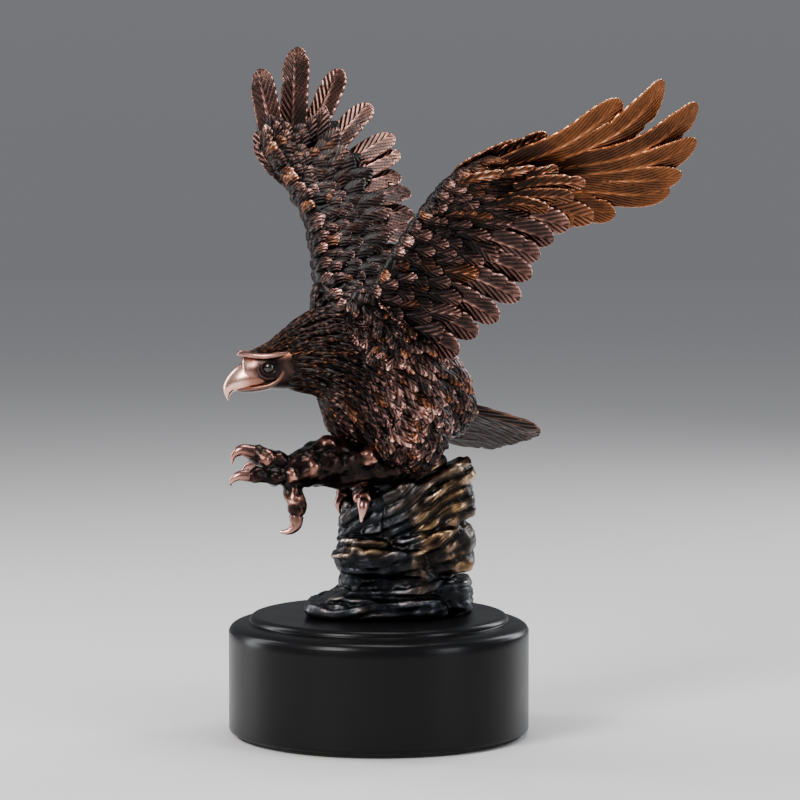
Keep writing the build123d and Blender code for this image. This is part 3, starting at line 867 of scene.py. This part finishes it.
spine_path = Path(placed(SPINE))
plumage, neck = Sculpture(), Sculpture()
lay_rows(plumage, spine_path, (0.98, 0.44), 3.6, ((12, 5.6), (10.5, 4.6)), SLIM, 0.5, 1.02)
lay_rows(neck, spine_path, (0.47, 0.2), 3.0, ((12, 3.2), (10.5, 2.4)), HACKLE, 0.3, 0.88, 0.05)
lay_rows(neck, spine_path, (0.2, 0.01), 2.6, ((9, 1.9), (7.5, 1.5)), CROWN, 0.1, 0.8, 0.8, behind_face)
for limb in (LEFT_SHOULDER, RIGHT_SHOULDER):
    lay_rows(plumage, Path(placed(limb)), (0.98, 0.1), 3.2, ((7, 5), (8, 6)), SCALE, 1.6, 1.2,
             keep=near_own_skin)
piece("body_feathers", plumage, feather_bronze, ("body",))
piece("neck_feathers", neck, feather_bronze, ("body",))
breeches = Sculpture()
for limb in (LEFT_THIGH, RIGHT_THIGH):
    lay_rows(breeches, Path(placed(limb)), (0.97, 0.12), 3.6, ((9, 4.6), (9.5, 6)), SLIM, 0.2, 1.1,
             keep=near_own_skin)
piece("thigh_feathers", breeches, feather_bronze, ("body",))

# ---------------------------------------------------------------- head
# The beak's ridge and cutting edge in profile, and its half width, from face to hooked tip.
RIDGE = [
    (-39, -11, 145.2, 4.4), (-44.5, -11, 146.2, 6.3), (-50, -11, 144.0, 5.4), (-54, -11, 141.4, 4.4),
    (-57, -11, 138, 3.2), (-58.6, -11, 134.4, 2.2), (-58.4, -11, 131.4, 1.3), (-57, -11, 128.6, 0.35),
]
CUTTING_EDGE = [
    (-37, -11, 134.6, 0), (-42.5, -11, 132.9, 0), (-48, -11, 132.4, 0), (-52, -11, 132.3, 0),
    (-54.4, -11, 132.1, 0), (-55.7, -11, 131.2, 0), (-56.4, -11, 130, 0), (-56.7, -11, 128.4, 0),
]
LOWER_BEAK = [
    (-35, -11, 138, 5.4), (-41, -11, 135.2, 5.6), (-46.5, -11, 133.6, 4.6), (-51, -11, 132.8, 3.0),
    (-54, -11, 132.7, 1.2),
]
BROW = [
    (-53, -13.2, 146, 0.5), (-52.2, -14.6, 146.5, 0.9), (-47.5, -17.4, 146.1, 1.0),
    (-42, -19.4, 145.9, 1.1), (-37, -20.2, 146.6, 0.9), (-32, -20.4, 147.8, 0.3),
]
BROW_LEDGE = 2.2  # how far in from the brow's rim the ledge behind it is centred
GAPE = [
    (-53.6, -13.4, 132.9, 0.4), (-48, -16.2, 133.5, 0.6), (-42, -18.2, 134.6, 0.7),
    (-38.4, -18.9, 136.2, 0.8), (-36.2, -19.2, 138.8, 0.9), (-35.4, -19.3, 141.4, 0.8),
    (-35.6, -19.3, 143.6, 0.5),
]
head = Sculpture()
beak_steps = np.linspace(0, 1, 44)
ridge = Path(placed(RIDGE), even=False).at(beak_steps)
cutting = Path(placed(CUTTING_EDGE), even=False).at(beak_steps)
turns = cos_sin(turn_steps(32))
middle, half = (ridge + cutting)[:, None, :3] / 2, (ridge - cutting)[:, None, :3] / 2
sharpen = np.sign(turns[:, 1]) * np.abs(turns[:, 1]) ** 0.8 * (1 - 0.22 * turns[:, 0])
beak = middle + turns[None, :, :1] * half
beak[..., 1] += sharpen * ridge[:, 3:4]
head.tube(beak, 1.0 - 0.42 * blend_in(0.45, 0.12, beak_steps)[:, None], 0.3)
head.tube(limb_rings(Path(placed(LOWER_BEAK)), 20, 20, flatten=0.4), 0.45)
beak_axis = ridge[0, 1]


def on_side(rows, side):
    """Points of the left side of the head, or their mirror image for the right."""
    mirrored = placed(rows)
    mirrored[:, 1] = beak_axis + (mirrored[:, 1] - beak_axis) * side
    return mirrored


def ring_round(centre, wide, tall, thick, depth):
    """A closed rim of round section standing in the plane square to Y."""
    turns = np.linspace(0, tau, 36)
    line = np.column_stack([centre[0] + wide * np.cos(turns), np.full(36, centre[1] + depth),
                            centre[2] + tall * np.sin(turns)])
    outward = unit(line - (centre + np.array([0, depth, 0])))
    section = cos_sin(turn_steps(10)) * thick
    across = section[None, :, 1:] * np.array([0, 1.0, 0])
    return line[:, None] + section[None, :, :1] * outward[:, None] + across


for side, eye_node in ((1, "left_eye"), (-1, "right_eye")):
    brow = on_side(BROW, side)
    head.tube(limb_rings(Path(brow), 40, 16), 0.76)
    brow[:, 1] += side * BROW_LEDGE
    brow[2:-1, 3] = BROW_LEDGE * 1.3
    head.tube(limb_rings(Path(brow), 40, 16, flatten=0.32), 0.5, 0.5)
    head.tube(limb_rings(Path(on_side(GAPE, side)), 40, 12, up=(0, 1, 0)), 0.6, 0.2)
    lid = box_middle(eye_node)
    head.tube(ring_round(lid, 2.75, 2.5, 0.5, -side * 1.0), 0.3)
    head.tube(ring_round(lid + np.array([0.3, 0, -0.7]), 4.2, 3.5, 0.5, -side * 0.3), 0.42)
piece("beak_and_brow", head, smooth_bronze, ("body",))


def build_eye(name):
    """The bead, a little smaller than its CAD box, so that it stays inside."""
    low, high = box_mm(name)
    ball = Sculpture()
    ball.tube(ball_rings(box_middle(name), (high - low)[0] / 2 * 0.98, 20, 28), 0.2)
    piece(name + "_bead", ball, eye_glass, (name,))


build_eye("left_eye")
build_eye("right_eye")

# ---------------------------------------------------------------- tail
TAIL_ROOTS = [(26, 0, 127), (26, 9, 120), (24, 16, 113)]
TAIL_TIPS = [(61, 15, 115), (62.5, 26, 112.5), (58, 36, 109.5), (50, 43, 107.5)]
TAIL_COUNT = 11
tail_roots, tail_tips = (Path(placed(rows)) for rows in (TAIL_ROOTS, TAIL_TIPS))
tail_across = unit(tail_roots.at(1.0)[:3] - tail_roots.at(0.0)[:3])
tail_ahead = unit(tail_tips.at(0.5)[:3] - tail_roots.at(0.5)[:3])
tail_up = unit(np.cross(tail_ahead, tail_across))
tail_fan = Sculpture()
for i in range(TAIL_COUNT):
    share = i / (TAIL_COUNT - 1)
    start, end = tail_roots.at(share), tail_tips.at(share)
    arch = tail_up * 2.2 * sin(pi * share)
    line = start + (end - start) * np.linspace(0, 1, 20)[:, None]
    line = line + arch * np.sin(np.linspace(0.3, pi, 20))[:, None]
    x, y, height, tone, lines = long_feather(np.linalg.norm(end - start), 8.6, 1.8, *TAIL_BARBS)
    line = line + tail_up * 0.4 * (i % 2)
    rings = blade_rings(line, tail_across + tail_up * 0.15 * (0.5 - share), (x, y, height))
    # Painted light: feathers are painted lighter along the lit top edge of the fan and darker towards its
    # shaded underside.
    tail_fan.tube(rings, np.clip(tone * chance.uniform(0.6, 0.8) * (0.95 - 0.65 * share), 0, 1), 0.3, lines)
piece("tail_feathers", tail_fan, flight_bronze, ("tail",))

# ---------------------------------------------------------------- legs and feet
LEFT_SHANK = [
    (6, -9, 105, 8), (-8, -13, 105, 9.2), (-20, -19, 105.3, 9.3), (-29, -23.5, 104, 7.2),
    (-34, -26, 102.5, 5),
]
LEFT_TOES = [
    [(-32, -25, 103.5, 4.4), (-39, -27, 107.5, 4), (-45, -28, 109.6, 3.4), (-49, -29.2, 110.2, 2.2)],
    [(-32, -26, 102, 4.4), (-40, -31, 101.5, 3.7), (-46, -33, 102.4, 3), (-50, -34, 101.9, 2)],
    [(-33, -25.5, 102, 4.6), (-32, -27, 95.5, 4), (-30.3, -27.5, 89.5, 3.5), (-31, -28.2, 85, 2.2)],
    [(-33, -24, 102.5, 4.4), (-39, -20, 104, 3.6), (-44, -17, 105, 2.9), (-47.5, -15.6, 104, 1.9)],
]
LEFT_CLAWS = [
    [(-46.5, -28.4, 110.4, 2.9), (-51, -29.6, 111.4, 2.2), (-54, -30, 109.4, 1.2),
     (-54.6, -30, 106.4, 0.3)],
    [(-48, -33.6, 102.4, 2.5), (-52, -34.3, 102.2, 1.8), (-54.6, -34.5, 100.4, 1.0),
     (-54.9, -34.5, 98.4, 0.3)],
    [(-30.6, -28, 86.5, 2.8), (-31, -28.6, 83, 2.2), (-33.6, -29.2, 80.9, 1.3), (-37.2, -29.5, 80.8, 0.3)],
    [(-45.8, -16.2, 104.8, 2.4), (-49, -15.2, 104, 1.7), (-51, -15, 101.8, 1.0), (-51, -15, 99.6, 0.3)],
]
RIGHT_SHANK = [(0, 6, 108, 7.5), (-3, 5.5, 102, 6.8), (-6, 4.5, 96.5, 5.4), (-8, 3, 92.5, 4)]
RIGHT_TOES = [
    [(-7, 3, 94.6, 4.4), (-6.4, -4, 93.6, 3.8), (-5.8, -9.8, 91, 3.1)],
    [(-8, 3, 94, 3.8), (-12, 0, 93.4, 3), (-14.4, -1.4, 90.4, 2.2)],
    [(-8, 4, 94, 3.8), (-11, 9, 92.8, 3), (-12.5, 12.4, 90, 2.2)],
]
RIGHT_CLAWS = [
    [(-5.8, -9.2, 91.2, 3.0), (-5.8, -12.8, 88.4, 2.3), (-6.6, -13.6, 82.4, 0.4)],
    [(-14.2, -1.2, 91, 2.2), (-15.3, -2.2, 88.4, 1.6), (-15, -2.4, 84.5, 0.3)],
    [(-12.2, 11.6, 90.8, 2.2), (-13.2, 13.6, 88.4, 1.6), (-13, 14, 84.5, 0.3)],
]
# Lumps of the skin, as lumps_at takes them.
LEG_LUMPS = ((7.0, 3.0, 1.3), (3.0, 5.0, 0.55), (1.4, 8.0, 0.16))
# A toe swells and narrows this many times along its length, by this share of its radius.
TOE_SWELLS, TOE_SWELL = 2.5, 0.13
# The skin's plain tone and what a millimetre of standing proud adds to it; then the most that a
# knuckle adds, and how fast that comes with standing proud.
LEG_TONE, LEG_WEAR, KNUCKLE_TONE, KNUCKLE_WEAR = 0.04, 1.3, 0.75, 4


def build_leg(name, cad_node, shank, toes, claws, knuckles):
    """Shank and scaly toes under one skin, and smooth bright claws."""
    flesh = Sculpture()
    flesh.tube(limb_rings(Path(placed(shank)), 30, 32))
    for toe in toes:
        path = Path(placed(toe))
        rings = limb_rings(path, 30, 24)
        centres = path.at(np.linspace(0, 1, 30))[:, None, :3]
        knuckle = 0.95 + TOE_SWELL * np.cos(tau * np.linspace(0, TOE_SWELLS, 30))[:, None, None]
        flesh.tube(centres + (rings - centres) * knuckle)
    bumps = placed(knuckles)
    for x, y, z, radius in bumps:
        flesh.tube(ball_rings((x, y, z), radius, 10, 14))
    skin = remeshed(flesh.mesh(name + "_clay"), 0.5, 14)
    points, normals = mesh_points(skin)
    points = points + normals * lumps_at(points, LEG_LUMPS)[:, None]
    move_points(skin, points)
    points, normals = mesh_points(skin)
    proud = bulge(skin, points, normals, 8)
    tone = LEG_TONE + LEG_WEAR * proud
    for x, y, z, radius in bumps:
        away = np.linalg.norm(points - np.array([x, y, z]), axis=1)
        near = blend_in(radius * 1.35, radius * 0.75, away)
        tone = tone + KNUCKLE_TONE * near * np.clip(0.2 + proud * KNUCKLE_WEAR, 0, 1)
    with_tone(skin, np.clip(tone, 0.02, 1), np.full(len(points), 0.2))
    piece(name + "_leg_skin", skin, smooth_bronze, (cad_node,))
    nails = Sculpture()
    for claw in claws:
        nails.tube(limb_rings(Path(placed(claw)), 24, 16), np.linspace(0.55, 0.95, 24)[:, None])
    piece(name + "_claws", nails, smooth_bronze, (cad_node,))


# Knuckles and tendons that stand proud and are rubbed bright.
LEFT_KNUCKLES = [
    (-19, -20, 110.5, 5.6), (-25, -25.5, 104.5, 5.0), (-28.5, -26, 105.5, 3.8), (-4, -17.5, 107, 5.4),
    (-41, -28.4, 108.4, 4.2), (-33, -28, 101.6, 4.2), (-31, -28.6, 93, 3.6), (-14, -18.5, 111, 3.6),
]
RIGHT_KNUCKLES = [(-7, -1, 95.6, 3.6), (-5.8, -9.4, 91.4, 3.5)]
build_leg("left", "left_leg", LEFT_SHANK, LEFT_TOES, LEFT_CLAWS, LEFT_KNUCKLES)
build_leg("right", "right_leg", RIGHT_SHANK, RIGHT_TOES, RIGHT_CLAWS, RIGHT_KNUCKLES)

# ---------------------------------------------------------------- rock
# Each slab: centre, half length, half depth, half thickness, turn and tilt in degrees.
SLABS = [
    (3, 0, 48.5, 32, 25, 3.6, 10, 0), (24, 0, 52.5, 12, 16, 6, 40, -8),
    (-10, -2, 52.5, 15, 17, 4.6, 20, -24), (6, -12, 49.5, 20, 11, 4.5, 20, 2),
    (8, 1, 57, 23, 20, 6, 30, 0), (2, -1, 67.5, 18, 18, 5.6, 5, 3), (20, 0, 73, 16, 16, 5.4, 60, -10),
    (19, 0, 66, 16, 16, 5, 15, -8), (10, 2, 84, 14, 13.5, 14, 45, 0),
    (-6, -1, 80.5, 8.5, 11, 9.5, 15, 4), (22, 1, 83.5, 14, 13.5, 5.2, 25, -22),
    (24, 1, 90, 13, 13, 4.6, 70, -26), (25, 2, 97, 12, 12.5, 4.4, 110, -28),
    (-5, -7, 70.5, 9.5, 9, 5.6, 12, 2), (14, 2, 101, 10.5, 11, 8.5, 0, -25),
    (2, 0, 89, 8, 10, 5, 30, -10),
]
# The upper edge of the front ledge, which is rubbed as bright as the plates on the right, and how
# far the brightness reaches along each axis.
LEDGE, LEDGE_REACH = (-4, -15, 73), (9, 12, 4.5)
# The gilt plates lie to the right of and above these spans.
PLATES_X, PLATES_Z = (8, 20), (60, 66)
# The beds dip by FOOT_DIP degrees at the foot and by MORE_DIP more above DIP_SPAN. They dip about
# the line at TILT_X and TILT_Z.
FOOT_DIP, MORE_DIP, DIP_SPAN = 6, 24, (62, 84)
TILT_X, TILT_Z = 10, 73
# Each set of beds: thickness, how far one bed stands out past another, and seed.
BEDS = ((4.6, 2.8, 1.0), (1.7, 0.6, 2.0))
ROCK_LUMPS = ((12, 5.0, 1.2), (3.2, 7.0, 0.35))
ROCK_SINK = 1.2  # how far the whole skin is drawn in, to make up for the beds that stand out
# Tone of the rock: its plain level, the share of patches and of streaks, what a millimetre of
# standing proud adds, how much more that adds on the gilt plates, and the deepest hollow counted.
ROCK_TONE, PATCH_TONE, STREAK_TONE, ROCK_WEAR, PLATE_WEAR, DEEPEST = 0.1, 0.1, 0.07, 1.6, 1.0, -0.08
CORNER_POWER = 3.2  # how square a slab's outline is


def slab_rings(x, y, z, long_half, deep_half, thick, turn, tilt):
    """An uneven flat slab with broken corners, tilted about Y."""
    angles = turn_steps(56)
    corners = chance.uniform(0.82, 1.1, 7)
    wobble = np.interp(angles, np.linspace(0, tau, 8), np.append(corners, corners[0]))
    a = angles + radians(turn)
    square = (np.abs(np.cos(a)) ** CORNER_POWER + np.abs(np.sin(a)) ** CORNER_POWER) ** (-1 / CORNER_POWER)
    rings = []
    for level, grow in ((-1, 0.84), (-0.9, 0.96), (-0.3, 1.0), (0.3, 0.985), (0.9, 0.95), (1, 0.82)):
        flat = np.column_stack([long_half * np.cos(a), deep_half * np.sin(a)])
        flat = flat * (wobble * square * grow)[:, None]
        across = flat[:, 0] * cos(radians(tilt)) + level * thick * sin(radians(tilt))
        raised = -flat[:, 0] * sin(radians(tilt)) + level * thick * cos(radians(tilt))
        rings.append(np.column_stack([x + across, y + flat[:, 1], z + raised]))
    return np.array(rings)


def bed_offset(level, thickness, points, seed):
    """How far the bed of rock at a level stands out, 0 to 1; it also varies along the bed."""
    bed = np.floor(level / thickness)
    share = np.sin(bed * 12.9898 + seed) * 43758.5453 % 1
    along = points * np.array([1, 1, 0]) + bed[:, None] * np.array([7.3, 3.1, 5.7])
    edge = 1 - np.abs(2 * (level / thickness % 1) - 1) ** 4 * 0.5
    return np.clip((share * 0.6 + 0.4 + 0.5 * noise_at(along, 7.0, seed)) * edge, 0, 1)


def build_rock():
    lumps = Sculpture()
    for slab in placed(SLABS):
        lumps.tube(slab_rings(*slab))
    skin = remeshed(lumps.mesh("rock_clay"), 0.75, 5)
    points, normals = mesh_points(skin)
    sideways = np.sqrt(np.maximum(1 - normals[:, 2] ** 2, 0))
    plates = blend_in(*PLATES_X, points[:, 0] + noise_at(points, 9, 2.0) * 6)
    plates = plates * blend_in(*PLATES_Z, points[:, 2])
    dip = radians(FOOT_DIP) + radians(MORE_DIP) * blend_in(*DIP_SPAN, points[:, 2])
    level = (points[:, 2] - TILT_Z) * np.cos(dip) - (points[:, 0] - TILT_X) * np.sin(dip)
    level = level + noise_at(points, 17, 3.0) * 2.6
    ledges = sum(bed_offset(level, thick, points, seed) * reach for thick, reach, seed in BEDS)
    move = ledges * (0.25 + 0.75 * sideways) + lumps_at(points, ROCK_LUMPS) - ROCK_SINK
    base_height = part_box("plinth")[1][2] * 1000
    move = move * blend_in(base_height - 0.5, base_height + 3, points[:, 2])
    points = points + normals * move[:, None]
    points[:, 2] = np.maximum(points[:, 2], base_height - 0.02)
    move_points(skin, points)
    points, normals = mesh_points(skin)
    proud = bulge(skin, points, normals, 3)
    patches = noise_at(points, 11, 1.0)
    streaks = noise_at(np.column_stack([points[:, 0] * 0.2, points[:, 1] * 0.2, level]), 1.3, 6.0)
    tone = ROCK_TONE + PATCH_TONE * patches + STREAK_TONE * streaks
    tone = tone + (ROCK_WEAR + PLATE_WEAR * plates) * np.maximum(proud, DEEPEST)
    ledge = np.exp(-(((points - placed([LEDGE])[0]) / np.array(LEDGE_REACH)) ** 2).sum(axis=1))
    tone = tone + plates * (0.03 + 0.12 * streaks) + ledge * (0.16 + 1.6 * np.maximum(proud, 0))
    warm = np.clip(0.7 * plates + 0.7 * patches + ledge, 0, 1)
    with_tone(skin, np.clip(tone, 0.01, 0.9), warm)
    piece("rock_casting", skin, rock_bronze, ("rock",))


build_rock()


# ---------------------------------------------------------------- plinth
# The raised disc's radius as a share of the plinth's, the height of the rounded shoulder, how far
# the shoulder starts below the top, and the rounding of the disc's rim across and down.
DISC_SHARE, SHOULDER_HEIGHT, SHOULDER_DROP = 0.862, 3.1, 5.8
RIM_ACROSS, RIM_DOWN = 2.6, 2.45


def build_plinth():
    """The turned wood: drum, rounded shoulder, small cove and raised top disc."""
    low, high = box_mm("plinth")
    radius = (high - low)[0] / 2
    bottom, top = low[2], high[2]
    disc = radius * DISC_SHARE
    edge = top - SHOULDER_DROP
    outline = [(radius - 4, bottom), (radius - 1, bottom), (radius - 0.3, bottom + 0.3),
               (radius, bottom + 1)]
    outline += [(radius, z) for z in np.linspace(bottom + 2, edge - 0.3, 12)]
    outline += [(radius - 0.15, edge)]
    for turn in np.linspace(0.12, pi / 2, 12):
        reach = (radius - 0.3 - disc - 0.5) * cos(turn)
        outline.append((disc + 0.5 + reach, edge + SHOULDER_HEIGHT * sin(turn)))
    outline += [(disc + 0.2, edge + SHOULDER_HEIGHT), (disc, edge + SHOULDER_HEIGHT + 0.25)]
    for turn in np.linspace(0, pi / 2, 12):
        outline.append((disc - RIM_ACROSS + RIM_ACROSS * cos(turn),
                        top - RIM_DOWN + RIM_DOWN * sin(turn)))
    outline += [(disc * share, top) for share in (0.9, 0.6, 0.3, 0.02)]
    outline = np.array(outline)
    turns = turn_steps(192)
    rings = np.stack([np.outer(outline[:, 0], np.cos(turns)), np.outer(outline[:, 0], np.sin(turns)),
                      np.repeat(outline[:, 1][:, None], 192, 1)], axis=-1)
    turned = Sculpture()
    turned.tube(rings, 0.2)
    piece("plinth_wood", turned, lacquer, ("plinth",))


build_plinth()

# ---------------------------------------------------------------- carried-over hardware
for name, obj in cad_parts.items():
    obj.data.materials.clear()
    obj.data.materials.append(felt if name == "felt_pad" else steel)


# ---------------------------------------------------------------- studio
# Each lamp: name, place and size in metres, power in watts and colour. All face LAMP_TARGET.
LAMP_TARGET = (0.01, 0, 0.15)
LAMPS = [
    ("key", (-0.6, -0.75, 0.7), (0.35, 0.5), 14.5, (1, 0.97, 0.94)),
    ("fill", (0.85, -0.6, 0.4), (0.3, 0.5), 4.5, (0.93, 0.96, 1)),
    ("top", (0.1, 0.1, 1.0), (0.5, 0.4), 7.5, (1, 1, 1)),
    ("rim", (0.75, 0.7, 0.5), (0.3, 0.6), 6, (0.92, 0.95, 1)),
    ("left_strip", (-0.75, 0.25, 0.35), (0.2, 0.7), 5, (0.95, 0.96, 1)),
]
SKY = [(0.0, (0.5, 0.51, 0.54)), (0.5, (0.68, 0.7, 0.76))]
SKY_STRENGTH = 0.35
FLOOR_HALF, FLOOR_DROP = 4, -0.0003  # metres


def softbox(name, place, size, power, colour):
    light = bpy.data.lights.new(name, "AREA")
    light.shape = "RECTANGLE"
    light.size, light.size_y = size
    light.energy = power
    light.color = colour
    lamp = bpy.data.objects.new(name, light)
    lamp.location = place
    lamp.rotation_euler = (Vector(LAMP_TARGET) - Vector(place)).to_track_quat("-Z", "Y").to_euler()
    bpy.context.scene.collection.objects.link(lamp)


def build_studio():
    corners = [(x * FLOOR_HALF, y * FLOOR_HALF, FLOOR_DROP)
               for x, y in ((-1, -1), (1, -1), (1, 1), (-1, 1))]
    floor_mesh = bpy.data.meshes.new("floor")
    floor_mesh.from_pydata(corners, [], [(0, 1, 2, 3)])
    floor = bpy.data.objects.new("floor", floor_mesh)
    bpy.context.scene.collection.objects.link(floor)
    floor_mesh.materials.append(plain("pale_floor", (0.72, 0.71, 0.7), 0.6))
    world = bpy.data.worlds.new("studio")
    world.use_nodes = True
    nodes, links = world.node_tree.nodes, world.node_tree.links
    height = nodes.new("ShaderNodeSeparateXYZ")
    links.new(nodes.new("ShaderNodeTexCoord").outputs["Generated"], height.inputs[0])
    sky = ramp(nodes, SKY)
    links.new(height.outputs["Z"], sky.inputs[0])
    links.new(sky.outputs[0], nodes["Background"].inputs[0])
    nodes["Background"].inputs[1].default_value = SKY_STRENGTH
    bpy.context.scene.world = world
    for lamp in LAMPS:
        softbox(*lamp)


build_studio()

CAMERA_PLACE = (0.0081, -1.3, 0.23)
CAMERA_PITCH = radians(4.49)
CAMERA_LENS = 153.9
camera = bpy.data.objects.new("camera", bpy.data.cameras.new("camera"))
camera.data.lens = CAMERA_LENS
camera.data.sensor_width = 36
camera.location = CAMERA_PLACE
camera.rotation_euler = (pi / 2 - CAMERA_PITCH, 0, 0)
bpy.context.scene.collection.objects.link(camera)
bpy.context.scene.camera = camera
